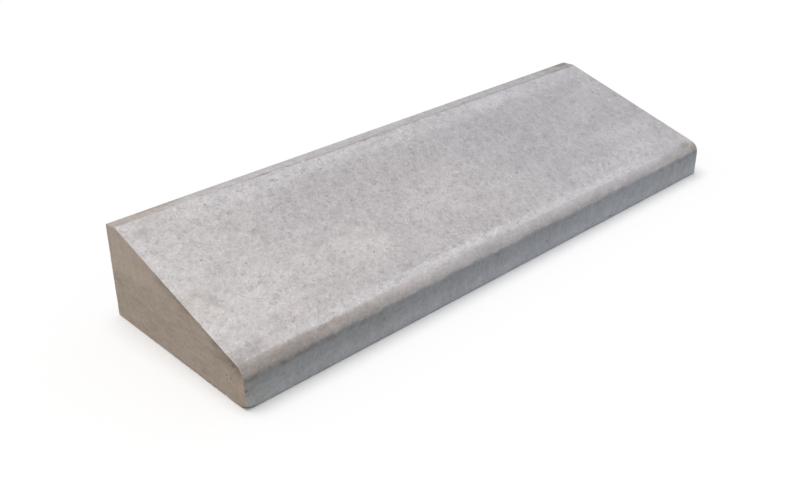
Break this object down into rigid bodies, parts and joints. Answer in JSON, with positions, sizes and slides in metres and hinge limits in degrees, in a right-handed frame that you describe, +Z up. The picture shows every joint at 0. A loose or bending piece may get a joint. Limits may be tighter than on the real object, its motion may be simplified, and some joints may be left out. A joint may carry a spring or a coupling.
{
  "type": "concrete kerb stone",
  "caption": "Solid concrete kerb stone with a low upright front, a round nose, a broad slope up to a narrow flat land, and plain butt ends.",
  "frame": {"origin": "middle of the flat bed that the kerb lies on, at the centre of its length and width", "axes": "+X along the kerb, to the right seen from the road side; the low front and nose face -Y and the high back faces +Y; +Z up"},
  "size_m": [1, 0.3, 0.145],
  "materials": {
    "weathered_concrete": "matt pale grey cast concrete with cloudy mottling and pores, browner on the ends and along the nose"
  },
  "bodies": {
    "root": {"kerb_stone": "weathered_concrete"}
  },
  "joints": []
}
